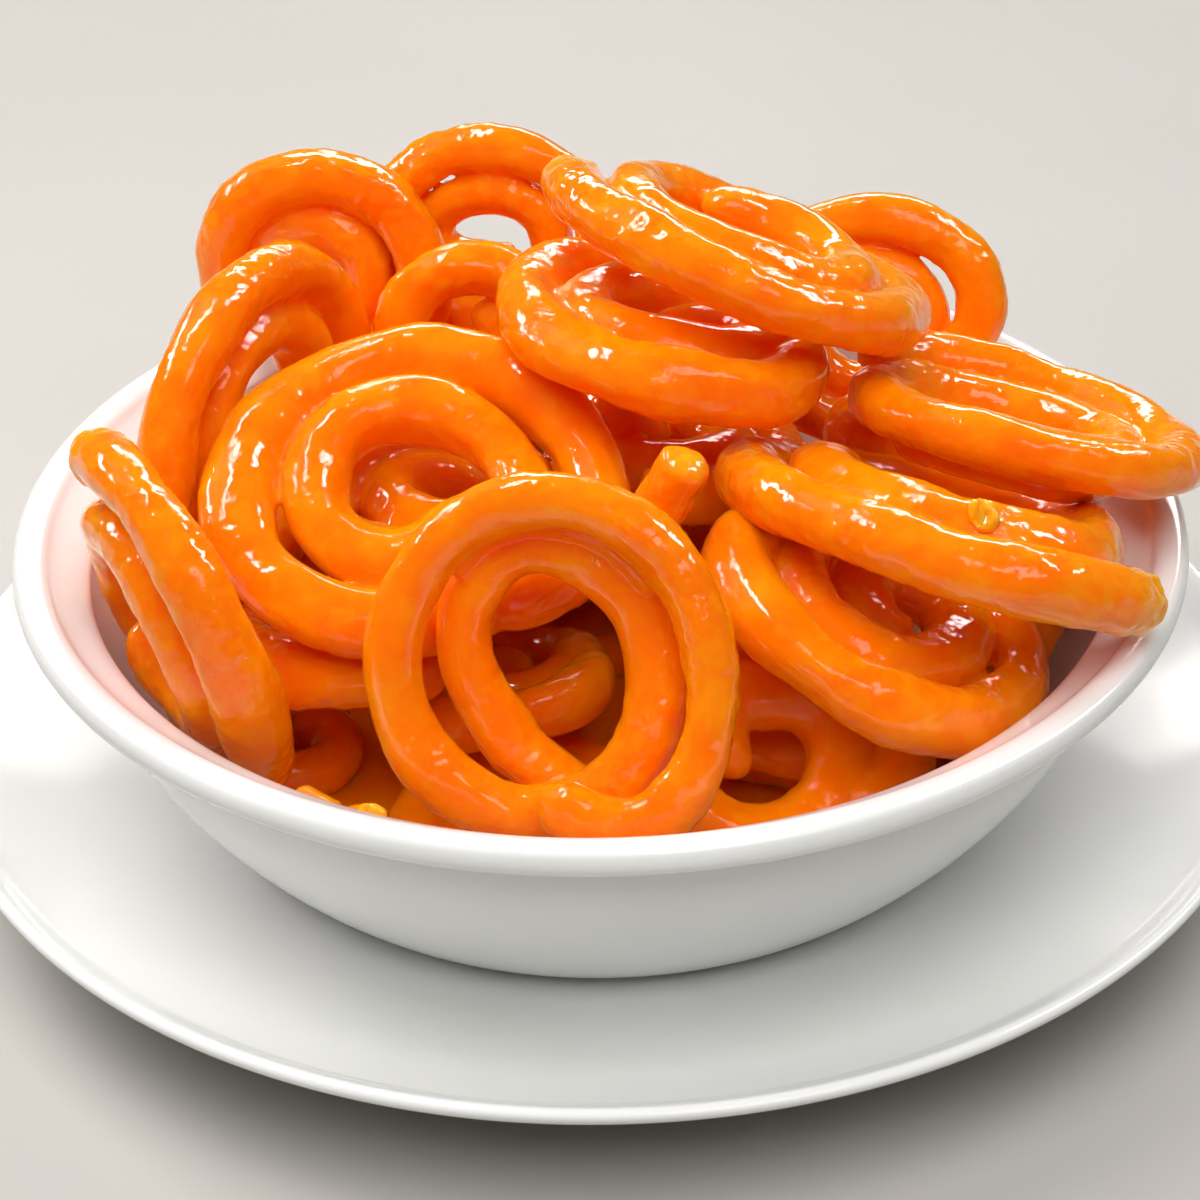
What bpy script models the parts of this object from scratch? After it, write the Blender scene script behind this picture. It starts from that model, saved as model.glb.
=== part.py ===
"""Jalebi heaped in a porcelain bowl that stands on its plate.

Every jalebi is one strand of batter piped into a flat spiral: its centre line
winds inwards by one strand's width a turn, and a few spirals are pushed out of
flat into a shallow cone. Each one is modelled in its own flat frame and then
laid in the heap by its place, the way its face looks and how far it leans.
The bowl and the plate are profiles turned about the vertical axis.

Sizes and places are in millimetres and degrees, and are scaled to metres.
"""

import math
from collections import namedtuple

import bpy

MM = 0.001

# Dishes: radii and heights of the driving points
BOWL_RIM_RADIUS = 80.0
BOWL_HEIGHT = 48.0
LIP_DEPTH = 4.8
WALL_TOP_RADIUS = 72.6
WALL_FOOT_RADIUS = 52.5
INNER_TOP_RADIUS = 70.0
INNER_FLOOR_RADIUS = 48.0
BOWL_FLOOR = 10.3
BOWL_FOOT = 6.3
PLATE_RADIUS = 93.2
PLATE_EDGE = 20.0
PLATE_WELL_RADIUS = 56.0
PLATE_WELL = 6.0
PLATE_FOOT_OUTER = 51.0
PLATE_FOOT_INNER = 46.0
DISH_SEGMENTS = 32

# Jalebi: the free space between turns, the least inner radius in strands, and how
# a strand is divided
TURN_GAP = 0.9
INNERMOST = 0.5
POINTS_PER_TURN = 11
STRAND_SIDES_SETTING = 1
TAIL_POINT_SPACING = 5.0
SWELL = 0.06
SWELLS_PER_TURN = 2.3
END_TAPER = (0.7, 0.93)

Jalebi = namedtuple(
    "Jalebi",
    "name place facing lean start ring strand turns hand cone oval tail",
    defaults=(0, (0, 0), None),
)

# place: middle of the spiral. facing: compass turn of its face, 0 towards -Y.
# lean: 90 lies flat, 0 stands on edge. start: where the outer end begins.
# ring: radius at the outer end. strand: half the thickness. hand: 1 winds
# inwards anticlockwise. cone: slope between turns. oval: share and direction.
# tail: length, bend and rise of a straighter last stretch.
HEAP = (
    Jalebi("jalebi_front", (-7, -51, 54), -5, 25, -45, 23, 4.3, 1.7, 1, -45, (-0.05, 20), (26, 45, -2)),
    Jalebi("jalebi_left_spiral", (-26, -14, 57), 5, 65, -15, 26.5, 4.7, 2.05, 1),
    Jalebi("jalebi_crown", (11, 10, 71), 125, 80, 170, 24, 4.4, 2.2, -1),
    Jalebi("jalebi_ridge", (21, 12, 79), 120, 65, 45, 26, 4.2, 1.9, 1, 10),
    Jalebi("jalebi_back_ring", (-17, 52, 63), -10, 5, -60, 18.5, 3.5, 2.3, 1, -10, (0.05, 0)),
    Jalebi("jalebi_back_left", (-43, 46, 62), -5, 10, -60, 18, 4.2, 1.8, 1, -15, (0.05, 15)),
    Jalebi("jalebi_left_arch", (-48, 11, 53), 65, 0, -95, 28, 4.2, 1.9, 1),
    Jalebi("jalebi_left_leaner", (-54, -26, 46), 120, 15, 60, 24.5, 4.3, 1.8, 1, -15),
    Jalebi("jalebi_right_upper", (56, -2, 63), 140, 70, -10, 25.5, 4.0, 1.9, -1, -20, (0.05, 0)),
    Jalebi("jalebi_back_right", (42, 42, 55), -5, 25, -100, 19, 3.7, 1.9, -1, -15, (0.1, 0)),
    Jalebi("jalebi_right_middle", (43, -20, 54), 145, 65, 185, 27.5, 4.5, 1.55, -1, 20, (0.1, -10)),
    Jalebi("jalebi_right_lower", (38, -26, 46), 80, 65, 105, 23, 4.3, 1.9, 1),
    Jalebi("jalebi_right_deep", (21, -34, 31), 15, 45, -15, 18.5, 4.4, 1.95, 1),
    Jalebi("jalebi_middle", (10, 17, 48), 130, 80, 125, 19, 4.2, 1.7, 1, 0, (0, 0), (14, -60, 9)),
    Jalebi("jalebi_behind_crown", (-19, 35, 56), 10, 5, -75, 14.5, 4.0, 1.8, 1, 0, (0.05, 5)),
    Jalebi("jalebi_left_deep", (-35, -13, 35), 175, 75, 125, 17, 4.4, 1.8, -1),
    Jalebi("jalebi_floor_back", (-5, 28, 15), 40, 90, 210, 18, 4.1, 1.9, 1),
    Jalebi("jalebi_floor_right", (27, -5, 15), 20, 90, 285, 18, 4.1, 1.9, 1),
    Jalebi("jalebi_floor_front", (-8, -30, 15), 280, 90, 285, 18, 4.1, 1.9, -1),
    Jalebi("jalebi_low_middle", (-14, -8, 24), 210, 70, 90, 18, 4.1, 1.9, -1),
    Jalebi("jalebi_low_right", (28, 23, 22), 120, 60, 165, 17, 4.3, 1.9, -1),
    Jalebi("jalebi_low_back", (-9, 30, 25), 40, 90, 15, 18, 4.1, 1.9, 1),
    Jalebi("jalebi_low_front", (26, -17, 25), 350, 70, 195, 14.5, 4.1, 1.9, -1),
    Jalebi("jalebi_heart", (-8, 9, 37), 240, 85, 135, 18, 4.1, 1.9, 1),
    Jalebi("jalebi_inner_right", (37, 10, 36), 140, 80, 15, 14.5, 4.3, 1.9, -1),
    Jalebi("jalebi_inner_left", (-22, 6, 46), 150, 90, 105, 18, 4.3, 1.9, -1),
    Jalebi("jalebi_inner_back", (9, 50, 47), -110, 35, -30, 18, 4.2, 1.85, -1),
    Jalebi("jalebi_back_low_left", (-27, 45, 38), 40, 75, 220, 18, 3.9, 1.85, 1),
    Jalebi("jalebi_back_low_right", (22, 40, 30), 150, 50, 60, 16, 4.2, 1.85, -1),
    Jalebi("jalebi_right_back", (47, 18, 46), 130, 70, 175, 17, 4.2, 1.85, 1),
    Jalebi("jalebi_right_wall", (56, 0, 30), 90, -25, 120, 16, 4.2, 1.85, 1),
    Jalebi("jalebi_left_wall", (-55, 21, 37), -115, -10, -10, 15.5, 3.9, 1.85, -1),
    Jalebi("jalebi_left_front", (-42.5, -12.3, 18), 25, 72, 62, 10.6, 3.6, 1.85, 1),
)

# The piece that has broken off: its two ends and half its thickness
BROKEN_END = ((4.4, -24.4, 56.7), (11.2, -27.1, 70.2), 3.2)


def clear_scene():
    for obj in list(bpy.data.objects):
        bpy.data.objects.remove(obj)


def plain_material(name, colour, roughness):
    material = bpy.data.materials.new(name)
    material.use_nodes = True
    shader = material.node_tree.nodes["Principled BSDF"]
    shader.inputs["Base Color"].default_value = (*colour, 1.0)
    shader.inputs["Roughness"].default_value = roughness
    shader.inputs["Metallic"].default_value = 0.0
    return material


def add_to_part(collection, name, data, material):
    obj = bpy.data.objects.new(name, data)
    data.materials.append(material)
    collection.objects.link(obj)
    return obj


# Dishes -------------------------------------------------------------------


def bowl_outer(share):
    """Point of the outer wall: share 0 at the foot, 1 under the lip."""
    swell = math.sin(math.pi / 2 * share) ** 0.87
    radius = WALL_FOOT_RADIUS + (WALL_TOP_RADIUS - WALL_FOOT_RADIUS) * swell
    top = BOWL_HEIGHT - LIP_DEPTH
    return radius, BOWL_FOOT + 1.0 + (top - BOWL_FOOT - 1.0) * share


def bowl_inner(share):
    """Point of the inner wall: share 0 at the floor, 1 at the start of the lip."""
    swell = math.sin(math.pi / 2 * share) ** 0.75
    radius = INNER_FLOOR_RADIUS + (INNER_TOP_RADIUS - INNER_FLOOR_RADIUS) * swell
    return radius, BOWL_FLOOR + (BOWL_HEIGHT - LIP_DEPTH - BOWL_FLOOR) * share


def bowl_profile():
    """From the middle of the floor up the inner wall, over the lip, and down outside."""
    inner = [bowl_inner(share) for share in (0, 0.06, 0.2, 0.45, 0.75, 1)]
    lip = [
        (BOWL_RIM_RADIUS - 4.6, BOWL_HEIGHT - 0.8),
        (BOWL_RIM_RADIUS - 2.6, BOWL_HEIGHT),
        (BOWL_RIM_RADIUS - 0.7, BOWL_HEIGHT - 0.6),
        (BOWL_RIM_RADIUS, BOWL_HEIGHT - 2.1),
        (BOWL_RIM_RADIUS - 0.9, BOWL_HEIGHT - 3.7),
        (BOWL_RIM_RADIUS - 3.6, BOWL_HEIGHT - 4.4),
    ]
    outer = [bowl_outer(share) for share in (1, 0.7, 0.4, 0.15, 0)]
    foot = [(50.5, BOWL_FOOT), (46.0, BOWL_FOOT), (45.0, BOWL_FOOT + 1.2)]
    middle_under = (0.0, BOWL_FOOT + 1.2)
    return [(0.0, BOWL_FLOOR), *inner, *lip, *outer, *foot, middle_under]


def plate_profile():
    """A shallow plate: flat well, a side that curves up, and a thin rolled edge."""
    side = []
    for share in (0.0, 0.25, 0.5, 0.75, 1.0):
        radius = PLATE_WELL_RADIUS + (PLATE_RADIUS - 4.5 - PLATE_WELL_RADIUS) * share
        side.append((radius, PLATE_WELL + (PLATE_EDGE - 2.2 - PLATE_WELL) * share**1.45))
    edge = [
        (PLATE_RADIUS - 1.8, PLATE_EDGE - 0.2),
        (PLATE_RADIUS - 0.7, PLATE_EDGE),
        (PLATE_RADIUS, PLATE_EDGE - 0.7),
        (PLATE_RADIUS - 0.8, PLATE_EDGE - 2.0),
    ]
    under = [(84.0, 11.8), (72.0, 6.0), (60.0, 2.2), (52.5, 0.9)]
    foot = [
        (PLATE_FOOT_OUTER, 0.0),
        (PLATE_FOOT_INNER, 0.0),
        (PLATE_FOOT_INNER - 1.0, 1.8),
    ]
    return [(0.0, PLATE_WELL), *side, *edge, *under, *foot, (0.0, 1.8)]


def turned_dish(collection, name, profile, material):
    """The profile, a line of (radius, height), turned once about Z."""
    mesh = bpy.data.meshes.new(name)
    points = [(radius * MM, 0.0, height * MM) for radius, height in profile]
    mesh.from_pydata(points, [(k, k + 1) for k in range(len(points) - 1)], [])
    dish = add_to_part(collection, name, mesh, material)
    turn = dish.modifiers.new("Turn", "SCREW")
    turn.axis = "Z"
    turn.angle = math.tau
    turn.steps = DISH_SEGMENTS
    turn.render_steps = DISH_SEGMENTS
    turn.use_merge_vertices = True
    turn.merge_threshold = 0.0001
    turn.use_smooth_shade = True
    return dish


# Jalebi -------------------------------------------------------------------


def clear_turns(item):
    """Its turns, but no more than keep the inner end clear of the turn across from it."""
    step = 2 * item.strand + TURN_GAP
    return min(item.turns, (item.ring - INNERMOST * item.strand) / step)


def spiral_points(item):
    """The flat spiral: the radius falls by one turn's step each turn.

    The step is a strand and its gap, shared between inwards and out of flat by
    the cone's slope. The oval stretches one direction and squeezes the other.
    """
    step = 2 * item.strand + TURN_GAP
    inwards = step * math.cos(math.radians(item.cone))
    rise = step * math.sin(math.radians(item.cone))
    stretch, direction = item.oval[0], math.radians(item.oval[1])
    turns = clear_turns(item)
    count = round(turns * POINTS_PER_TURN)
    points = []
    for k in range(count + 1):
        turned = turns * k / count
        radius = item.ring - inwards * turned
        angle = math.radians(item.start) + item.hand * math.tau * turned
        along = radius * math.cos(angle - direction) * (1 + stretch)
        across = radius * math.sin(angle - direction) * (1 - stretch)
        points.append(
            (
                along * math.cos(direction) - across * math.sin(direction),
                along * math.sin(direction) + across * math.cos(direction),
                rise * turned,
            )
        )
    return points


def tail_points(item, points):
    """The last stretch, which leaves the spiral and bends evenly as it goes."""
    length, bend, rise = item.tail
    count = round(length / TAIL_POINT_SPACING)
    (x0, y0, _), (x, y, z) = points[-2:]
    heading = math.atan2(y - y0, x - x0)
    tail = []
    for _ in range(count):
        heading += math.radians(bend) / count
        x += math.cos(heading) * length / count
        y += math.sin(heading) * length / count
        z += rise / count
        tail.append((x, y, z))
    return tail


def strand_swell(turned, start, from_end):
    """Thickness along the strand as a share: a slow swell, and tapered ends."""
    if from_end < len(END_TAPER):
        return END_TAPER[from_end]
    wave = math.sin(math.tau * SWELLS_PER_TURN * turned + math.radians(start))
    return 1 - SWELL * (0.5 + 0.5 * wave)


def add_strand(collection, name, points, radii, strand, material):
    """A tube of the given half thickness along points, thinned by its radii."""
    curve = bpy.data.curves.new(name, "CURVE")
    curve.dimensions = "3D"
    curve.bevel_depth = strand * MM
    curve.bevel_resolution = STRAND_SIDES_SETTING
    curve.use_fill_caps = True
    line = curve.splines.new("POLY")
    line.points.add(len(points) - 1)
    for point, (x, y, z), radius in zip(line.points, points, radii):
        point.co = (x * MM, y * MM, z * MM, 1.0)
        point.radius = radius
    return add_to_part(collection, name, curve, material)


def make_jalebi(collection, item, material):
    points = spiral_points(item)
    if item.tail:
        points += tail_points(item, points)
    last = len(points) - 1
    radii = [strand_swell(k / POINTS_PER_TURN, item.start, min(k, last - k)) for k in range(last + 1)]
    jalebi = add_strand(collection, item.name, points, radii, item.strand, material)
    jalebi.location = [value * MM for value in item.place]
    jalebi.rotation_euler = (math.radians(90 - item.lean), 0.0, math.radians(item.facing))


def make_broken_end(collection, material):
    """A short straight piece that has broken off a strand."""
    start, end, strand = BROKEN_END
    middle = [(a + b) / 2 for a, b in zip(start, end)]
    add_strand(collection, "jalebi_broken_end", [start, middle, end], (0.9, 1.0, 1.0), strand, material)


def main():
    clear_scene()
    part = bpy.data.collections.new("jalebi_bowl_and_plate")
    bpy.context.scene.collection.children.link(part)
    porcelain = plain_material("white_porcelain", (0.83, 0.83, 0.81), 0.12)
    syrup_dough = plain_material("syrup_soaked_dough", (0.87, 0.17, 0.01), 0.15)
    turned_dish(part, "plate", plate_profile(), porcelain)
    turned_dish(part, "bowl", bowl_profile(), porcelain)
    for item in HEAP:
        make_jalebi(part, item, syrup_dough)
    make_broken_end(part, syrup_dough)


main()
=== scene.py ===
# %% [markdown]
# # A bowl of jalebi on its plate
# Jalebi are made by piping a thin batter into hot oil in flat spirals and then
# soaking the crisp loops in sugar syrup. What the eye reads is not the outline
# but the wet, see-through orange strand: long torn highlights on a bumpy skin, a
# deep red where strands lie over each other, and pale yellow where they are thin.
# This lesson builds the two dishes, every piece of the heap and the light that
# makes syrup look like syrup. The fixed frame comes first, because every piece
# here stands for a solid in it and has to fill the same place.

# %% Load the fixed frame
import math
from collections import namedtuple

import bpy
import numpy as np
from mathutils import Matrix, Vector


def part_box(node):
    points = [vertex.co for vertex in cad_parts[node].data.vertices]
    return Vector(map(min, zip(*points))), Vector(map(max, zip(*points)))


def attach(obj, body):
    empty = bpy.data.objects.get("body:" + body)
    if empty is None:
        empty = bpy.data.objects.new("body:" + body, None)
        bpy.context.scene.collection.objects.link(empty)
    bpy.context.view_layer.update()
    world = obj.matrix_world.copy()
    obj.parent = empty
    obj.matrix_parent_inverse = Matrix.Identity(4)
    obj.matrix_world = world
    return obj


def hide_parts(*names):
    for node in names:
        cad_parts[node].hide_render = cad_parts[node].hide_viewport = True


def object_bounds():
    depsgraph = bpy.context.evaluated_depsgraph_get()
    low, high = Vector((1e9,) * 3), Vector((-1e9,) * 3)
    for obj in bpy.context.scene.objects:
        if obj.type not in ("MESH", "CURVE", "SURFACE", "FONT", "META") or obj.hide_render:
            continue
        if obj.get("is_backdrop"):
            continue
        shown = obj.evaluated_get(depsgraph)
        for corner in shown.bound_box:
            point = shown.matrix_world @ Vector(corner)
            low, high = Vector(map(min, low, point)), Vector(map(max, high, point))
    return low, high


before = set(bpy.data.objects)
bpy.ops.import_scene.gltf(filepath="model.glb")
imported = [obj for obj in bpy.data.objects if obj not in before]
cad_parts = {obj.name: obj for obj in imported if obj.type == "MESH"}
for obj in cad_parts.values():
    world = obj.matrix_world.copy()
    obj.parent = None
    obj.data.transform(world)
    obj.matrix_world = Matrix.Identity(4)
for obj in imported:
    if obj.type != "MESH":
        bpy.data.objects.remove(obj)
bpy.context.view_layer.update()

MM = 0.001

# %% [markdown]
# ## A surface from rows of points
# A dish and a strand are the same thing to a mesh: rows of points, each row a
# closed loop, joined to the next row by four-cornered faces. One helper can
# therefore make them all from a numpy array. The first and the last row are
# closed with a fan round one middle point, so that nothing is left open. The
# result stays as arrays, so that several skins can go into one mesh.

# %% Turn rows of points into a closed mesh


def enclosed_volume(points, quads):
    """Six times the signed volume under the faces: below nought, they face inwards."""
    a, b, c, d = (points[quads[:, k]] for k in range(4))
    halves = np.einsum("ij,ij->i", a, np.cross(b, c)) + np.einsum("ij,ij->i", a, np.cross(c, d))
    return halves.sum()


def closed_skin(rows, near_middle=None, far_middle=None):
    """The points, face corners and face sizes that close (rows, columns, 3) loops.

    Corner k of a row joins corner k + 1 and the same two of the next row. If the
    volume comes out negative, every face is turned round.
    """
    count, around = rows.shape[:2]
    index = np.arange(count * around).reshape(count, around)
    here, beside = index[:-1], np.roll(index[:-1], -1, axis=1)
    ahead, across = index[1:], np.roll(index[1:], -1, axis=1)
    quads = np.stack([here, beside, across, ahead], axis=-1).reshape(-1, 4)
    first, last = count * around, count * around + 1
    near = np.stack([np.full(around, first), np.roll(index[0], -1), index[0]], axis=-1)
    far = np.stack([np.full(around, last), index[-1], np.roll(index[-1], -1)], axis=-1)
    near_middle = rows[0].mean(axis=0) if near_middle is None else near_middle
    far_middle = rows[-1].mean(axis=0) if far_middle is None else far_middle
    points = np.vstack([rows.reshape(-1, 3), near_middle, far_middle])
    corners = np.concatenate([quads.ravel(), near.ravel(), far.ravel()])
    sizes = np.repeat([4, 3], [len(quads), 2 * around])
    if enclosed_volume(points, quads) < 0:
        corners, sizes = corners[::-1].copy(), sizes[::-1].copy()
    return points, corners, sizes


def new_mesh(name, points, corners, sizes):
    """A smooth-shaded mesh: each face starts where the faces before it end."""
    mesh = bpy.data.meshes.new(name)
    mesh.vertices.add(len(points))
    mesh.vertices.foreach_set("co", points.astype(np.float32).ravel())
    mesh.loops.add(len(corners))
    mesh.loops.foreach_set("vertex_index", corners.astype(np.int32))
    mesh.polygons.add(len(sizes))
    mesh.polygons.foreach_set("loop_start", (np.cumsum(sizes) - sizes).astype(np.int32))
    mesh.update(calc_edges=True)
    mesh.validate()
    mesh.shade_smooth()
    return mesh


def place(name, mesh, material, node):
    """Shows a mesh in place of a solid of the frame, with its finish."""
    piece = bpy.data.objects.new(name, mesh)
    mesh.materials.append(material)
    bpy.context.scene.collection.objects.link(piece)
    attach(piece, "root")
    if node:
        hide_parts(node)
    return piece


# %% [markdown]
# ## Unevenness
# Nothing fried is smooth. Value noise gives every corner of a cubic lattice a
# random height and blends between the corners with a smooth step, so it bulges
# without direction. It is worked out for whole arrays of points at once, and the
# same seed always gives the same bumps.

# %% Noise for whole arrays of points


def lattice_value(x, y, z, seed):
    """A fixed random value from -1 to 1 for each whole-numbered lattice corner."""
    mixed = x * 374761393 + y * 668265263 + z * 2147483647 + seed * 1274126177
    mixed = (mixed ^ (mixed >> 13)) * 1274126177 & 0xFFFFFFFF
    mixed = (mixed ^ (mixed >> 16)) & 0xFFFF
    return mixed / 32767.5 - 1


def noise(points, size, seed):
    """Value noise: corner values blended with f*f*(3-2f) along each axis."""
    scaled = points / size
    base = np.floor(scaled).astype(np.int64)
    part = scaled - base
    part = part * part * (3 - 2 * part)
    total = 0.0
    for dx in (0, 1):
        for dy in (0, 1):
            for dz in (0, 1):
                corner = lattice_value(base[..., 0] + dx, base[..., 1] + dy, base[..., 2] + dz, seed)
                weight_x = part[..., 0] if dx else 1 - part[..., 0]
                weight_y = part[..., 1] if dy else 1 - part[..., 1]
                weight_z = part[..., 2] if dz else 1 - part[..., 2]
                total = total + corner * weight_x * weight_y * weight_z
    return total


print("noise at three places", noise(np.array([[0.1, 0.2, 0.3], [1.5, 0, 2.2], [9, 4, 1]]), 1.0, 5).round(3))

# %% [markdown]
# ## Finishes
# White glaze is a plain dielectric: almost no colour, a clear reflection and a
# trace of waviness where it ran. Syrup-soaked batter is two things at once. The
# light goes into the batter and comes out orange somewhere else, which is
# subsurface scattering with a long red path, and the syrup on top is a clear coat
# with its own sharp reflection. The torn edges of the highlights come from
# bumps of several sizes, so the finest are left to the shader.

# %% Helpers for node materials


def new_material(name):
    """A material with nodes, and its node tree and shader."""
    material = bpy.data.materials.new(name)
    material.use_nodes = True
    tree = material.node_tree
    return material, tree, tree.nodes["Principled BSDF"]


def noise_node(tree, scale, detail=3.0, roughness=0.55):
    """A noise texture on the object's own coordinates, scale in bumps a metre."""
    where = tree.nodes.new("ShaderNodeTexCoord")
    texture = tree.nodes.new("ShaderNodeTexNoise")
    texture.inputs["Scale"].default_value = scale
    texture.inputs["Detail"].default_value = detail
    texture.inputs["Roughness"].default_value = roughness
    tree.links.new(where.outputs["Object"], texture.inputs["Vector"])
    return texture.outputs["Fac"]


def ramp_node(tree, value, *stops):
    """A colour ramp through the given (place, colour) stops."""
    ramp = tree.nodes.new("ShaderNodeValToRGB")
    elements = ramp.color_ramp.elements
    while len(elements) < len(stops):
        elements.new(0.5)
    for element, (where, colour) in zip(elements, stops):
        element.position = where
        element.color = (*colour, 1.0)
    tree.links.new(value, ramp.inputs["Fac"])
    return ramp.outputs["Color"]


def bump_node(tree, height, distance, strength, below=None):
    """A bump whose height is in metres, stacked on the one below it."""
    bump = tree.nodes.new("ShaderNodeBump")
    bump.inputs["Strength"].default_value = strength
    bump.inputs["Distance"].default_value = distance
    tree.links.new(height, bump.inputs["Height"])
    if below:
        tree.links.new(below, bump.inputs["Normal"])
    return bump.outputs["Normal"]


# %% White glaze


def white_glaze():
    """Glossy white porcelain, with faint waves in the glaze and uneven gloss."""
    material, tree, shader = new_material("white_glaze")
    tone = ramp_node(
        tree,
        noise_node(tree, 30.0, 2.0),
        (0.3, (0.80, 0.80, 0.785)),
        (0.7, (0.84, 0.84, 0.83)),
    )
    tree.links.new(tone, shader.inputs["Base Color"])
    gloss = tree.nodes.new("ShaderNodeMapRange")
    tree.links.new(noise_node(tree, 90.0), gloss.inputs["Value"])
    gloss.inputs["To Min"].default_value = 0.13
    gloss.inputs["To Max"].default_value = 0.20
    tree.links.new(gloss.outputs["Result"], shader.inputs["Roughness"])
    shader.inputs["IOR"].default_value = 1.52
    waves = bump_node(tree, noise_node(tree, 70.0, 1.0), 0.0003, 0.12)
    tree.links.new(waves, shader.inputs["Normal"])
    return material


porcelain = white_glaze()
print("finish", porcelain.name, "with", len(porcelain.node_tree.nodes), "nodes")

# %% Syrup-soaked batter


def soaked_batter():
    """Orange see-through batter under a clear coat of syrup."""
    material, tree, shader = new_material("soaked_batter")
    blotches = noise_node(tree, 130.0, 3.0, 0.6)
    body = ramp_node(
        tree,
        blotches,
        (0.30, (0.98, 0.175, 0.001)),
        (0.50, (1.0, 0.21, 0.001)),
        (0.70, (1.0, 0.26, 0.002)),
    )
    grain = tree.nodes.new("ShaderNodeAttribute")
    grain.attribute_name = "crystal"
    sugar = tree.nodes.new("ShaderNodeMix")
    sugar.data_type = "RGBA"
    tree.links.new(grain.outputs["Fac"], sugar.inputs["Factor"])
    tree.links.new(body, sugar.inputs["A"])
    sugar.inputs["B"].default_value = (1.0, 0.37, 0.008, 1.0)
    tree.links.new(sugar.outputs["Result"], shader.inputs["Base Color"])
    shader.inputs["Subsurface Weight"].default_value = 1.0
    shader.inputs["Subsurface Radius"].default_value = (1.0, 0.36, 0.05)
    shader.inputs["Subsurface Scale"].default_value = 0.005
    shader.inputs["Roughness"].default_value = 0.3
    shader.inputs["Specular IOR Level"].default_value = 0.0
    shader.inputs["Coat Weight"].default_value = 1.0
    shader.inputs["Coat Roughness"].default_value = 0.035
    shader.inputs["Coat IOR"].default_value = 1.5
    ripples = bump_node(tree, noise_node(tree, 420.0, 2.0), 0.00022, 0.5)
    crinkle = bump_node(tree, noise_node(tree, 950.0, 3.0, 0.6), 0.00012, 0.5, ripples)
    fried = tree.nodes.new("ShaderNodeMapRange")
    tree.links.new(noise_node(tree, 150.0, 2.0), fried.inputs["Value"])
    fried.inputs["From Min"].default_value = 0.42
    fried.inputs["From Max"].default_value = 0.62
    fried.inputs["To Min"].default_value = 0.12
    fried.inputs["To Max"].default_value = 1.0
    tree.links.new(fried.outputs["Result"], crinkle.node.inputs["Strength"])
    tree.links.new(crinkle, shader.inputs["Normal"])
    tree.links.new(crinkle, shader.inputs["Coat Normal"])
    return material


batter = soaked_batter()
print("finish", batter.name, "with", len(batter.node_tree.nodes), "nodes")

# %% [markdown]
# ## The dishes
# A bowl or a plate is thrown or pressed as a turned shape, so its profile says
# everything. The profile is a short list of measured corners and formula curves,
# its corners are rounded by cutting them again and again, and it is then turned
# about the vertical axis. The frame's boxes give the radius and the heights.

# %% Round a profile and turn it
DISH_COLUMNS = 224


def rounded(profile, passes):
    """Chaikin's corner cutting: each edge keeps its quarter points."""
    line = np.array(profile, float)
    for _ in range(passes):
        quarter = 0.75 * line[:-1] + 0.25 * line[1:]
        three = 0.25 * line[:-1] + 0.75 * line[1:]
        middle = np.stack([quarter, three], axis=1).reshape(-1, 2)
        line = np.vstack([line[:1], middle, line[-1:]])
    return line


def turned(name, profile):
    """The profile, as (radius, height) from the top middle to the bottom middle."""
    turn = np.linspace(0, math.tau, DISH_COLUMNS, endpoint=False)
    radius, height = profile[1:-1, 0], profile[1:-1, 1]
    rows = np.stack(
        [
            radius[:, None] * np.cos(turn),
            radius[:, None] * np.sin(turn),
            np.repeat(height[:, None], DISH_COLUMNS, axis=1),
        ],
        axis=-1,
    )
    top, bottom = (np.array([0.0, 0.0, profile[k, 1]]) for k in (0, -1))
    return new_mesh(name, *closed_skin(rows, top, bottom))


# %% The bowl
bowl_low, bowl_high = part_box("bowl")
RIM_RADIUS = bowl_high.x
RIM_TOP = bowl_high.z
LIP = 4.8 * MM
WALL_TOP, WALL_FOOT = 72.6 * MM, 52.5 * MM
INSIDE_TOP, INSIDE_FLOOR = 70.0 * MM, 48.0 * MM
FLOOR_HEIGHT = 10.3 * MM
FOOT_STEP = 1.0 * MM


def inner_wall(share):
    """Radius and height at a share of the way up the inside.

    The wall bulges as the sine of a quarter turn, raised to a power that says
    how soon it swings out.
    """
    radius = INSIDE_FLOOR + (INSIDE_TOP - INSIDE_FLOOR) * np.sin(np.pi / 2 * share) ** 0.75
    height = FLOOR_HEIGHT + (RIM_TOP - LIP - FLOOR_HEIGHT) * share
    return np.stack([radius, height], axis=1)


def bowl_profile():
    """Up the inside, over the rolled lip, down the outside and under the foot.

    The outer wall has the inner wall's formula with a power of its own.
    """
    share = np.linspace(0, 1, 26)
    inside = inner_wall(share)
    over = [(-5.2, -1.9), (-4.2, -0.5), (-2.4, 0.12), (-0.5, -0.1)]
    round_under = [(0.15, -1.6), (-0.1, -3.4), (-2.2, -4.6)]
    lip = np.array(over + round_under) * MM + (RIM_RADIUS, RIM_TOP)
    down = share[::-1]
    outside = np.stack(
        [
            WALL_FOOT + (WALL_TOP - WALL_FOOT) * np.sin(np.pi / 2 * down) ** 0.87,
            bowl_low.z + FOOT_STEP + (RIM_TOP - LIP - bowl_low.z - FOOT_STEP) * down,
        ],
        axis=1,
    )
    foot = np.array([(50.5, 0.0), (46.0, 0.0), (45.0, 1.2)]) * MM + (0, bowl_low.z)
    middle = [(0.0, bowl_low.z + 1.2 * MM)]
    floor = [(0.0, FLOOR_HEIGHT), (25 * MM, FLOOR_HEIGHT)]
    return rounded(np.vstack([floor, inside, lip, outside, foot, middle]), 2)


bowl = place("bowl_glazed", turned("bowl_glazed", bowl_profile()), porcelain, "bowl")
print("bowl points", len(bowl.data.vertices))

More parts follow.
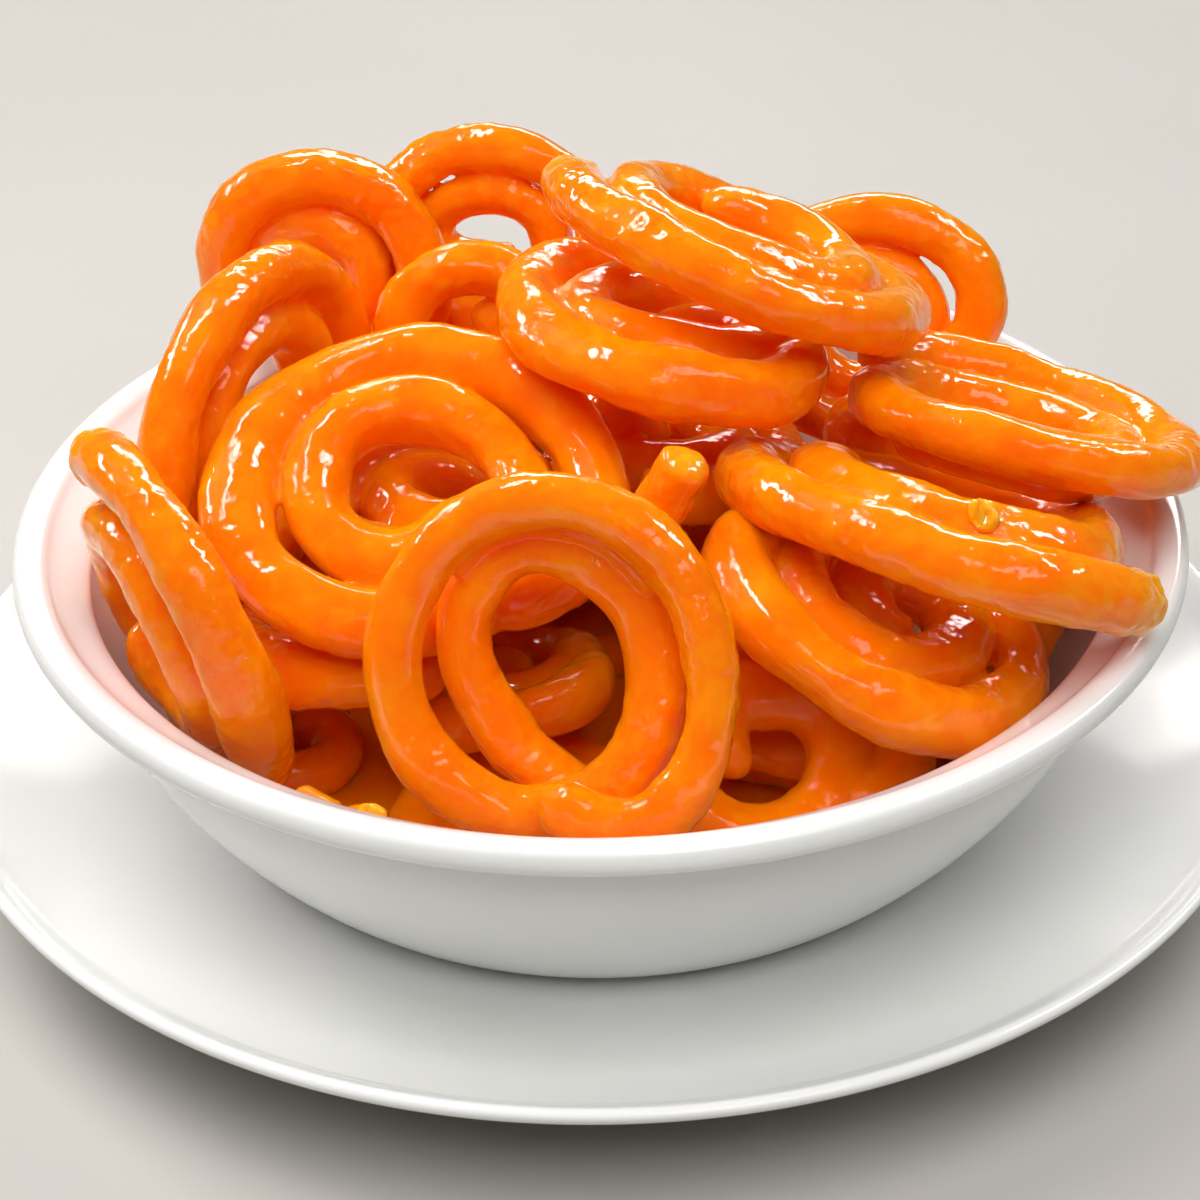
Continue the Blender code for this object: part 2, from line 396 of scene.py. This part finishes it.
# %% The plate
plate_low, plate_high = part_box("plate")
PLATE_RADIUS = plate_high.x
PLATE_EDGE = plate_high.z
WELL_RADIUS, WELL_HEIGHT = 56.0 * MM, 6.0 * MM
SIDE_END = 4.5 * MM


def plate_profile():
    """A flat well, a side that rises as a power of the way out, and a thin edge."""
    share = np.linspace(0, 1, 22)
    side = np.stack(
        [
            WELL_RADIUS + (PLATE_RADIUS - SIDE_END - WELL_RADIUS) * share,
            WELL_HEIGHT + (PLATE_EDGE - 2.2 * MM - WELL_HEIGHT) * share**1.45,
        ],
        axis=1,
    )
    edge = np.array([(-2.3, -0.5), (-0.9, 0.25), (0.15, -0.5), (-0.6, -2.1)]) * MM
    edge += (PLATE_RADIUS, PLATE_EDGE)
    under = np.array([(84.0, 11.8), (72.0, 6.0), (60.0, 2.2), (52.5, 0.9)]) * MM
    foot = np.array([(51.0, 0.0), (46.0, 0.0), (45.0, 1.8), (0.0, 1.8)]) * MM
    return rounded(np.vstack([[(0.0, WELL_HEIGHT)], side, edge, under, foot]), 2)


plate = place("plate_glazed", turned("plate_glazed", plate_profile()), porcelain, "plate")
print("plate points", len(plate.data.vertices))

# %% [markdown]
# Jalebi go into the bowl dripping, so syrup gathers on its floor. The pool is
# flat but for its edge, where the liquid climbs the wall a little. It is turned
# like the dishes, and a hair's breadth clear of the glaze all round.

# %% The pool of syrup
POOL_LEVEL = 14.5 * MM
HAIR = 0.05 * MM
EDGE_WIDTH, EDGE_CLIMB = 4 * MM, 0.9 * MM


def pool_profile():
    """The level surface, a climbing edge as a square of the nearness to the wall,
    and the bowl's own inner wall down to its floor."""
    filled = (POOL_LEVEL - FLOOR_HEIGHT) / (RIM_TOP - LIP - FLOOR_HEIGHT)
    down = inner_wall(np.linspace(1, 0.0, 8) * filled) + (-HAIR, HAIR)
    out = np.linspace(0, 1, 9)[:-1]
    radius = down[0, 0] - EDGE_WIDTH * (1 - out)
    top = np.stack([radius, POOL_LEVEL - EDGE_CLIMB * (1 - out**2)], axis=1)
    flat = [(0.0, top[0, 1]), (20 * MM, top[0, 1])]
    return np.vstack([flat, top, down, [(0.0, down[-1, 1])]])


pool = place("syrup_pool", turned("syrup_pool", pool_profile()), batter, None)
print("pool of syrup", round(POOL_LEVEL / MM, 1), "mm up, points", len(pool.data.vertices))

# %% [markdown]
# ## Where each jalebi lies
# Each row gives one jalebi: the middle of its spiral, the way its face looks and
# how far it leans, then the spiral itself. They are the same places and spirals
# as the fixed solids, in millimetres and degrees, so the heap can't shift. Where a
# row goes on, it has the cone, the oval as (stretch, direction) and the last
# stretch as (length, bend, rise).

# %% The heap
Jalebi = namedtuple(
    "Jalebi",
    "name place facing lean start ring strand turns hand cone oval tail",
    defaults=(0, (0, 0), None),
)

HEAP = (
    Jalebi("jalebi_front", (-7, -51, 54), -5, 25, -45, 23, 4.3, 1.7, 1, -45, (-0.05, 20), (26, 45, -2)),
    Jalebi("jalebi_left_spiral", (-26, -14, 57), 5, 65, -15, 26.5, 4.7, 2.05, 1),
    Jalebi("jalebi_crown", (11, 10, 71), 125, 80, 170, 24, 4.4, 2.2, -1),
    Jalebi("jalebi_ridge", (21, 12, 79), 120, 65, 45, 26, 4.2, 1.9, 1, 10),
    Jalebi("jalebi_back_ring", (-17, 52, 63), -10, 5, -60, 18.5, 3.5, 2.3, 1, -10, (0.05, 0)),
    Jalebi("jalebi_back_left", (-43, 46, 62), -5, 10, -60, 18, 4.2, 1.8, 1, -15, (0.05, 15)),
    Jalebi("jalebi_left_arch", (-48, 11, 53), 65, 0, -95, 28, 4.2, 1.9, 1),
    Jalebi("jalebi_left_leaner", (-54, -26, 46), 120, 15, 60, 24.5, 4.3, 1.8, 1, -15),
    Jalebi("jalebi_right_upper", (56, -2, 63), 140, 70, -10, 25.5, 4.0, 1.9, -1, -20, (0.05, 0)),
    Jalebi("jalebi_back_right", (42, 42, 55), -5, 25, -100, 19, 3.7, 1.9, -1, -15, (0.1, 0)),
    Jalebi("jalebi_right_middle", (43, -20, 54), 145, 65, 185, 27.5, 4.5, 1.55, -1, 20, (0.1, -10)),
    Jalebi("jalebi_right_lower", (38, -26, 46), 80, 65, 105, 23, 4.3, 1.9, 1),
    Jalebi("jalebi_right_deep", (21, -34, 31), 15, 45, -15, 18.5, 4.4, 1.95, 1),
    Jalebi("jalebi_middle", (10, 17, 48), 130, 80, 125, 19, 4.2, 1.7, 1, 0, (0, 0), (14, -60, 9)),
    Jalebi("jalebi_behind_crown", (-19, 35, 56), 10, 5, -75, 14.5, 4.0, 1.8, 1, 0, (0.05, 5)),
    Jalebi("jalebi_left_deep", (-35, -13, 35), 175, 75, 125, 17, 4.4, 1.8, -1),
    Jalebi("jalebi_floor_back", (-5, 28, 15), 40, 90, 210, 18, 4.1, 1.9, 1),
    Jalebi("jalebi_floor_right", (27, -5, 15), 20, 90, 285, 18, 4.1, 1.9, 1),
    Jalebi("jalebi_floor_front", (-8, -30, 15), 280, 90, 285, 18, 4.1, 1.9, -1),
    Jalebi("jalebi_low_middle", (-14, -8, 24), 210, 70, 90, 18, 4.1, 1.9, -1),
    Jalebi("jalebi_low_right", (28, 23, 22), 120, 60, 165, 17, 4.3, 1.9, -1),
    Jalebi("jalebi_low_back", (-9, 30, 25), 40, 90, 15, 18, 4.1, 1.9, 1),
    Jalebi("jalebi_low_front", (26, -17, 25), 350, 70, 195, 14.5, 4.1, 1.9, -1),
    Jalebi("jalebi_heart", (-8, 9, 37), 240, 85, 135, 18, 4.1, 1.9, 1),
    Jalebi("jalebi_inner_right", (37, 10, 36), 140, 80, 15, 14.5, 4.3, 1.9, -1),
    Jalebi("jalebi_inner_left", (-22, 6, 46), 150, 90, 105, 18, 4.3, 1.9, -1),
    Jalebi("jalebi_inner_back", (9, 50, 47), -110, 35, -30, 18, 4.2, 1.85, -1),
    Jalebi("jalebi_back_low_left", (-27, 45, 38), 40, 75, 220, 18, 3.9, 1.85, 1),
    Jalebi("jalebi_back_low_right", (22, 40, 30), 150, 50, 60, 16, 4.2, 1.85, -1),
    Jalebi("jalebi_right_back", (47, 18, 46), 130, 70, 175, 17, 4.2, 1.85, 1),
    Jalebi("jalebi_right_wall", (56, 0, 30), 90, -25, 120, 16, 4.2, 1.85, 1),
    Jalebi("jalebi_left_wall", (-55, 21, 37), -115, -10, -10, 15.5, 3.9, 1.85, -1),
    Jalebi("jalebi_left_front", (-42.5, -12.3, 18), 25, 72, 62, 10.6, 3.6, 1.85, 1),
)
print("jalebi in the heap", len(HEAP))

# %% [markdown]
# ## One strand
# The batter runs from a moving nozzle, so the line wanders a little and the
# strand swells and thins along its length. Where it comes round to its own start
# it steps inwards, and both ends sink into the turn beside them. The centre line
# is the spiral of the fixed solid with these habits added.

# %% What is particular to each jalebi
TURN_GAP, INNERMOST = 0.9, 0.5
Habit = namedtuple(
    "Habit",
    "girth closer more_turns tuck open_end stations webs",
    # girth: strand beside the fixed one; closer: turn step beside the fixed one
    # tuck: turns of the outer end that sink into the next turn
    # stations: (turn, radius) pairs where the spiral is not even
    # webs: (from turn, to turn, radius) of thin batter between two turns
    defaults=(0.98, 0.92, 0.0, 0.14, False, (), ()),
)
HABITS = {
    "jalebi_front": Habit(
        girth=0.86,
        stations=(
            (0.0, 21.5), (0.3, 20.8), (0.7, 19.6), (0.85, 18.6), (1.05, 14.6),
            (1.2, 14.0), (1.42, 13.6), (1.7, 10.8),
        ),
        webs=((1.22, 1.52, 1.6),),
    ),
    "jalebi_left_spiral": Habit(girth=0.96, closer=0.93),
    "jalebi_ridge": Habit(tuck=0.0, open_end=True),
    "jalebi_right_upper": Habit(tuck=0.0, open_end=True),
    "jalebi_right_middle": Habit(girth=1.0, tuck=0.0, open_end=True),
    "jalebi_right_lower": Habit(girth=1.0, closer=0.98, more_turns=0.45),
    "jalebi_left_leaner": Habit(girth=0.95, tuck=0.0, open_end=True),
    "jalebi_middle": Habit(girth=0.9, tuck=0.0, open_end=True),
}
HIDDEN = ("floor", "low_", "heart", "inner_", "wall")

# %% The centre line of a strand
LINE_POINTS = 1200
WANDER = 0.45
SMOOTH_SHARE = 0.05


def smooth_step(value):
    """f*f*(3-2f) between nought and one."""
    value = np.clip(value, 0, 1)
    return value * value * (3 - 2 * value)


def spiral(item, habit, seed):
    """Radius falls with the turn; the cone shares the step with depth.

    The outer end, before turn nought, sinks three quarters of a step inwards.
    Two slow sine waves out of step with the turns wander radius and depth.
    """
    step = (2 * item.strand + TURN_GAP) * habit.closer
    slope = math.radians(item.cone)
    limit = (item.ring - INNERMOST * item.strand) / (2 * item.strand + TURN_GAP)
    turns = min(item.turns, limit) + habit.more_turns
    turned_by = np.linspace(-habit.tuck, turns, LINE_POINTS)
    tucked = smooth_step(-turned_by / max(habit.tuck, 0.01)) * (turned_by < 0)
    if habit.stations:
        at, radii = np.array(habit.stations).T
        radius = np.interp(turned_by, at, radii)
        window = np.hanning(round(LINE_POINTS * SMOOTH_SHARE) * 2 + 1)
        half = len(window) // 2
        radius = np.convolve(np.pad(radius, half, mode="edge"), window / window.sum(), "valid")
    else:
        radius = item.ring - step * math.cos(slope) * np.maximum(turned_by, 0)
    radius = radius - tucked * 0.75 * step
    wave = np.sin(turned_by * 9.1 + seed) + 0.6 * np.sin(turned_by * 17.3 + 2.1 * seed)
    radius = radius + WANDER * wave * smooth_step(turned_by * 2 + 0.3)
    angle = math.radians(item.start) + item.hand * math.tau * turned_by
    stretch, direction = item.oval[0], math.radians(item.oval[1])
    along = radius * np.cos(angle - direction) * (1 + stretch)
    across = radius * np.sin(angle - direction) * (1 - stretch)
    depth = (2 * item.strand + TURN_GAP) * math.sin(slope) * turned_by
    depth = depth + WANDER * np.sin(turned_by * 7.7 + 1.7 * seed)
    flat = np.stack(
        [
            along * math.cos(direction) - across * math.sin(direction),
            along * math.sin(direction) + across * math.cos(direction),
            depth,
        ],
        axis=1,
    )
    return flat, turned_by


def with_tail(item, line):
    """Adds the last stretch: its heading turns evenly from the spiral's own."""
    length, bend, rise = item.tail
    count = round(LINE_POINTS / 6)
    start = line[-1]
    heading = math.atan2(line[-1, 1] - line[-2, 1], line[-1, 0] - line[-2, 0])
    share = np.linspace(0, 1, count + 1)[1:]
    headings = heading + math.radians(bend) * share
    stride = length / count
    tail = np.stack(
        [
            start[0] + np.cumsum(np.cos(headings)) * stride,
            start[1] + np.cumsum(np.sin(headings)) * stride,
            start[2] + rise * share,
        ],
        axis=1,
    )
    return np.vstack([line, tail])


def place_matrix(item):
    """The spiral's own frame: leaned back about X, turned about Z, then moved."""
    lean = Matrix.Rotation(math.radians(90 - item.lean), 4, "X")
    facing = Matrix.Rotation(math.radians(item.facing), 4, "Z")
    return Matrix.Translation(Vector(item.place) * MM) @ facing @ lean


front_line = spiral(HEAP[0], HABITS["jalebi_front"], 1)[0]
print("length of the front spiral in mm", np.linalg.norm(np.diff(front_line, axis=0), axis=1).sum().round())

# %% [markdown]
# A round section carried along the line makes a tube, but two turns that touch
# are not two tubes any more: they have fried together, with a soft crease
# between them. Remeshing the tubes as one block of small cells unites them, a
# few passes of smoothing round the crease, and the fine unevenness is then
# pushed in along the surface's own normals.

# %% The tube along a line
BLUNT_END, ROUND_END = (0.25, 0.45), (0.5, 1.6)  # power, reach in strand radii


def even_steps(line, spacing, end_radius):
    """Points at equal steps along a line, and closer together at its two ends."""
    lengths = np.concatenate([[0], np.cumsum(np.linalg.norm(np.diff(line, axis=0), axis=1))])
    whole = lengths[-1]
    cap = end_radius * (1 - np.cos(np.linspace(0, np.pi / 2, 7)))
    body = np.linspace(end_radius, whole - end_radius, max(8, round((whole - 2 * end_radius) / spacing)))
    where = np.concatenate([cap[:-1], body, (whole - cap[:-1])[::-1]])
    points = np.stack([np.interp(where, lengths, line[:, k]) for k in range(3)], axis=1)
    return points, where, whole


def section_frame(points, face):
    """Two directions square to the line: one near the face's normal, one sideways."""
    along = np.gradient(points, axis=0)
    along /= np.linalg.norm(along, axis=1, keepdims=True)
    outwards = face - np.einsum("ij,j->i", along, face)[:, None] * along
    outwards /= np.linalg.norm(outwards, axis=1, keepdims=True)
    return outwards, np.cross(along, outwards)


def end_shape(distance, blunt):
    """How wide an end is: a power of the climb, steep if it is broken off blunt."""
    power, reach = BLUNT_END if blunt else ROUND_END
    return (1 - (1 - np.clip(distance / reach, 0, 1)) ** 2) ** power


def tube(line, face, radius, seed, blunt_ends, spacing=0.7 * MM, columns=36):
    """Rows of points round a line: the radius swells and the section is a little flat.

    Two sine waves along the line swell it, a cosine of twice the angle flattens
    it, and noise wrapped round it makes lumps. The two ends close by end_shape.
    """
    points, where, whole = even_steps(line, spacing, radius)
    outwards, sideways = section_frame(points, face)
    angle = np.linspace(0, math.tau, columns, endpoint=False)
    ring = outwards[:, None] * np.sin(angle)[:, None] + sideways[:, None] * np.cos(angle)[:, None]
    swell = 1 + 0.045 * np.sin(where / (8 * MM) + seed) + 0.035 * np.sin(where / (3.1 * MM) + 3 * seed)
    size = radius * swell[:, None] * (1 + 0.05 * np.cos(2 * angle + seed + where[:, None] / (25 * MM)))
    around_and_along = np.cos(angle), np.sin(angle), where[:, None] / (11 * MM)
    round_it = np.stack(np.broadcast_arrays(*around_and_along), axis=-1)
    size = size * (1 + 0.10 * noise(round_it, 0.9, seed) + 0.04 * noise(round_it, 0.4, seed + 3))
    shape = end_shape(where / radius, blunt_ends[0])
    shape = shape * end_shape((whole - where) / radius, blunt_ends[1])
    return points[:, None] + ring * (size * shape[:, None])[..., None]


# %% Unite, smooth and roughen
CELL, COARSE_CELL, FINE_CELL = 0.45 * MM, 0.8 * MM, 0.35 * MM
BUMPS = (
    # size and height in mm, seed step, share everywhere, share added when rough
    (6.0, 0.24, 0, 1.0, 0.0),
    (2.4, 0.13, 31, 0.5, 1.0),
    (1.05, 0.08, 63, 0.3, 1.2),
)
CRUMBS = ((1.7, 0.55, 95), (0.9, 0.30, 120))  # size and height in mm, seed step


def united(name, tubes, cell):
    """One closed skin round overlapping tubes, its creases smoothed."""
    skins = [closed_skin(rows) for rows in tubes]
    firsts = np.cumsum([0] + [len(points) for points, _, _ in skins[:-1]])
    whole = new_mesh(
        name,
        np.vstack([points for points, _, _ in skins]),
        np.concatenate([corners + first for (_, corners, _), first in zip(skins, firsts)]),
        np.concatenate([sizes for _, _, sizes in skins]),
    )
    source = bpy.data.objects.new(name, whole)
    bpy.context.scene.collection.objects.link(source)
    cells = source.modifiers.new("one_skin", "REMESH")
    cells.mode = "VOXEL"
    cells.voxel_size = cell
    soft = source.modifiers.new("soften", "SMOOTH")
    soft.factor = 0.5
    soft.iterations = 5
    evaluated = source.evaluated_get(bpy.context.evaluated_depsgraph_get())
    skin = bpy.data.meshes.new_from_object(evaluated)
    bpy.data.objects.remove(source)
    bpy.data.meshes.remove(whole)
    return skin


def mesh_points(mesh):
    """All corner places of a mesh as an array."""
    flat = np.empty(len(mesh.vertices) * 3, dtype=np.float32)
    mesh.vertices.foreach_get("co", flat)
    return flat.reshape(-1, 3).astype(float)


def mesh_normals(mesh):
    """All corner normals of a mesh as an array."""
    flat = np.empty(len(mesh.vertices) * 3, dtype=np.float32)
    mesh.vertex_normals.foreach_get("vector", flat)
    return flat.reshape(-1, 3).astype(float)


def roughened(mesh, seed, ends):
    """Pushes each point along its normal by three sizes of noise, rough in patches.

    Near an open end the push is stronger and finer, for the broken sugary
    crumb, and the same nearness is kept as the attribute crystal.
    """
    points, normals = mesh_points(mesh), mesh_normals(mesh)
    rough = smooth_step(0.5 + 0.9 * noise(points, 9 * MM, seed + 7))
    push = sum(
        height * noise(points, size * MM, seed + step) * (everywhere + added * rough)
        for size, height, step, everywhere, added in BUMPS
    )
    crystal = np.zeros(len(points))
    for place_of_end, reach in ends:
        nearness = np.clip(1.25 - np.linalg.norm(points - place_of_end, axis=1) / reach, 0, 1)
        crystal = np.maximum(crystal, nearness)
    crumb = sum(height * noise(points, size * MM, seed + step) for size, height, step in CRUMBS)
    push = push + crumb * crystal
    points = points + normals * push[:, None] * MM
    mesh.vertices.foreach_set("co", points.astype(np.float32).ravel())
    layer = mesh.attributes.new("crystal", "FLOAT", "POINT")
    patches = np.clip(0.9 * noise(points, 2.0 * MM, seed + 150) - 0.25, 0, 0.2)
    layer.data.foreach_set("value", np.maximum(crystal, patches).astype(np.float32))
    mesh.shade_smooth()
    mesh.update()
    return points


# %% Make every jalebi


def make_jalebi(item, number):
    """The spiral's tube and its webs, united, smoothed and roughened."""
    habit = HABITS.get(item.name, Habit())
    line, turned_by = spiral(item, habit, number)
    webs = []
    for first, last, radius in habit.webs:
        inner = line[(turned_by > first) & (turned_by < last)]
        outer = line[(turned_by > first - 1) & (turned_by < last - 1)]
        middle = (inner[: len(outer)] + outer[: len(inner)]) / 2
        webs.append((middle, radius * MM))
    if item.tail:
        line = with_tail(item, line)
    placed = place_matrix(item)
    turn = np.array(placed.to_3x3())
    move = np.array(placed.translation)
    face = turn[:, 2]
    line = line * MM @ turn.T + move
    radius = item.strand * habit.girth * MM
    tubes = [tube(line, face, radius, number, (habit.open_end, False))]
    for middle, size in webs:
        web_line = middle * MM @ turn.T + move
        tubes.append(tube(web_line, face, size, number + 5, (False, False)))
    hidden = any(word in item.name for word in HIDDEN)
    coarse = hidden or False
    mesh = united(item.name + "_strand", tubes, COARSE_CELL if coarse else CELL)
    ends = [(line[0], 1.7 * radius)] if habit.open_end else []
    return mesh, roughened(mesh, number, ends)


largest_miss = 0.0
triangles = 0
for number, item in enumerate(HEAP):
    mesh, points = make_jalebi(item, number + 1)
    place(item.name + "_strand", mesh, batter, item.name)
    low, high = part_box(item.name)
    miss = max(np.abs(points.min(axis=0) - low).max(), np.abs(points.max(axis=0) - high).max())
    largest_miss = max(largest_miss, miss)
    triangles += 2 * len(mesh.polygons)
print("strand triangles", triangles)
print("largest miss of a fixed box in mm", round(largest_miss / MM, 2))

# %% [markdown]
# ## Broken bits
# Brittle loops snap when they are heaped. One end has broken off and stands
# between the spirals, a bead of sugar has set on a strand at the right, and a few
# crumbs stick to the wall at the front left. They are made in the same way as the
# strands, but from short straight lines, and each is sugary towards its far end.

# %% The broken end, the bead and the crumbs
BITS = {
    # name: ((start, end, half thickness), ...), sugary reach, fixed solid
    "broken_end": ((((4.4, -24.4, 56.7), (11.2, -27.1, 70.2), 3.2),), 3.0, "jalebi_broken_end"),
    "sugar_bead": ((((46.5, -37.0, 66.8), (47.4, -37.8, 67.6), 2.1),), 4.0, None),
    "wall_crumbs": (
        (
            ((-38.4, -54.6, 38.5), (-34.0, -58.0, 37.5), 2.2),
            ((-31.5, -59.0, 38.0), (-28.0, -61.5, 41.0), 1.9),
            ((-34.5, -54.6, 34.5), (-29.5, -57.4, 33.6), 2.3),
            ((-25.5, -60.6, 36.8), (-22.0, -61.8, 36.0), 1.7),
        ),
        3.0,
        None,
    ),
}
for number, (name, (sticks, reach, node)) in enumerate(BITS.items()):
    tubes, ends = [], []
    for start, end, thickness in sticks:
        share = np.linspace(0, 1, 12)[:, None]
        line = np.array(start) * (1 - share) + np.array(end) * share
        line[:, 0] += 0.6 * np.sin(share[:, 0] * math.pi)
        tubes.append(tube(line * MM, np.array([1.0, 0.2, 0.1]), thickness * MM, number, (True, True)))
        ends.append((np.array(end) * MM, reach * MM))
    mesh = united(name, tubes, FINE_CELL)
    roughened(mesh, 200 + number, ends)
    place(name, mesh, batter, node)
    print(name, "points", len(mesh.vertices))

# %% [markdown]
# ## Light, floor and camera
# Wet things are lit by the shape of the lamps that they mirror. Wide soft panels
# above and behind give long highlights along the tops of the strands, and light
# that enters from behind makes thin loops glow. The floor is pale and plain.

# %% The floor
FLOOR_HALF = 2.2


def pale_floor():
    """A matt, faintly mottled floor."""
    material, tree, shader = new_material("pale_floor")
    tone = ramp_node(
        tree,
        noise_node(tree, 6.0, 2.0),
        (0.3, (0.43, 0.41, 0.385)),
        (0.7, (0.46, 0.44, 0.415)),
    )
    tree.links.new(tone, shader.inputs["Base Color"])
    shader.inputs["Roughness"].default_value = 0.75
    return material


floor_corners = FLOOR_HALF * np.array([(-1, -1, 0), (1, -1, 0), (1, 1, 0), (-1, 1, 0)], float)
floor_mesh = bpy.data.meshes.new("floor")
floor_mesh.from_pydata(floor_corners.tolist(), [], [(0, 1, 2, 3)])
floor_mesh.materials.append(pale_floor())
floor = bpy.data.objects.new("floor", floor_mesh)
bpy.context.scene.collection.objects.link(floor)
floor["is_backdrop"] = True
print("floor of", 2 * FLOOR_HALF, "m each way")

# %% Soft panels and a dim sky
PANELS = (
    # name, place, size, power, colour, lights the heap, shows in its gloss
    ("soft_left", (-0.46, 0.24, 0.62), (0.50, 0.50), 3.6, (1.0, 0.97, 0.95), True, False),
    ("soft_back", (0.26, 0.58, 0.56), (0.60, 0.40), 2.6, (1.0, 0.98, 0.96), True, False),
    ("fill_top", (0.0, -0.50, 1.0), (1.0, 0.8), 13.0, (1.0, 1.0, 0.98), True, False),
    ("strip_left", (-0.46, 0.24, 0.62), (0.42, 0.70), 22.0, (1.0, 0.94, 0.92), False, True),
    ("strip_back", (0.08, 0.66, 0.40), (0.60, 0.14), 3.4, (1.0, 0.95, 0.93), False, True),
    ("strip_right", (0.50, 0.16, 0.58), (0.14, 0.32), 3.0, (1.0, 0.95, 0.93), False, True),
    ("card_front", (0.26, -0.52, 0.76), (0.46, 0.24), 1.2, (1.0, 0.95, 0.90), False, True),
)
AIM = Vector((0.0, 0.0, 0.05))
for name, where, size, power, colour, lights_heap, in_gloss in PANELS:
    light = bpy.data.lights.new(name, "AREA")
    light.shape = "RECTANGLE"
    light.size, light.size_y = size
    light.energy = power
    light.color = colour
    panel = bpy.data.objects.new(name, light)
    panel.location = where
    panel.rotation_euler = (AIM - Vector(where)).to_track_quat("-Z", "Y").to_euler()
    panel.visible_diffuse = lights_heap
    panel.visible_glossy = in_gloss
    bpy.context.scene.collection.objects.link(panel)

world = bpy.data.worlds.new("dim_sky")
world.use_nodes = True
sky = world.node_tree.nodes["Background"]
sky.inputs["Color"].default_value = (0.93, 0.96, 1.0, 1.0)
sky.inputs["Strength"].default_value = 0.06
bpy.context.scene.world = world
bpy.context.scene.view_settings.view_transform = "Standard"
print("panels", len(PANELS), "of", sum(row[3] for row in PANELS), "W in all")

# %% The camera
ELEVATION = math.radians(32.18)
ROLL = math.radians(-1.08)
DISTANCE = 0.421
LOOK_AT = Vector((-0.0002, 0.0, 0.0323))

back = Vector((0.0, -math.cos(ELEVATION), math.sin(ELEVATION)))
right = Vector((1.0, 0.0, 0.0))
up = back.cross(right)
level = Matrix((right, up, back)).transposed()
camera_data = bpy.data.cameras.new("camera")
camera_data.sensor_width = 36.0
camera_data.lens = 90.0
camera_data.clip_start = 0.01
camera = bpy.data.objects.new("camera", camera_data)
camera.matrix_world = (
    Matrix.Translation(LOOK_AT + DISTANCE * back) @ (level @ Matrix.Rotation(ROLL, 3, "Z")).to_4x4()
)
bpy.context.scene.collection.objects.link(camera)
bpy.context.scene.camera = camera
print("camera at", [round(v, 3) for v in camera.matrix_world.translation])

# %% [markdown]
# ## The shown box
# The shown model has to fill the same box as the fixed one, so the box round
# everything shown, the floor left out, is worked out last.

# %% Measure the shown box
low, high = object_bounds()
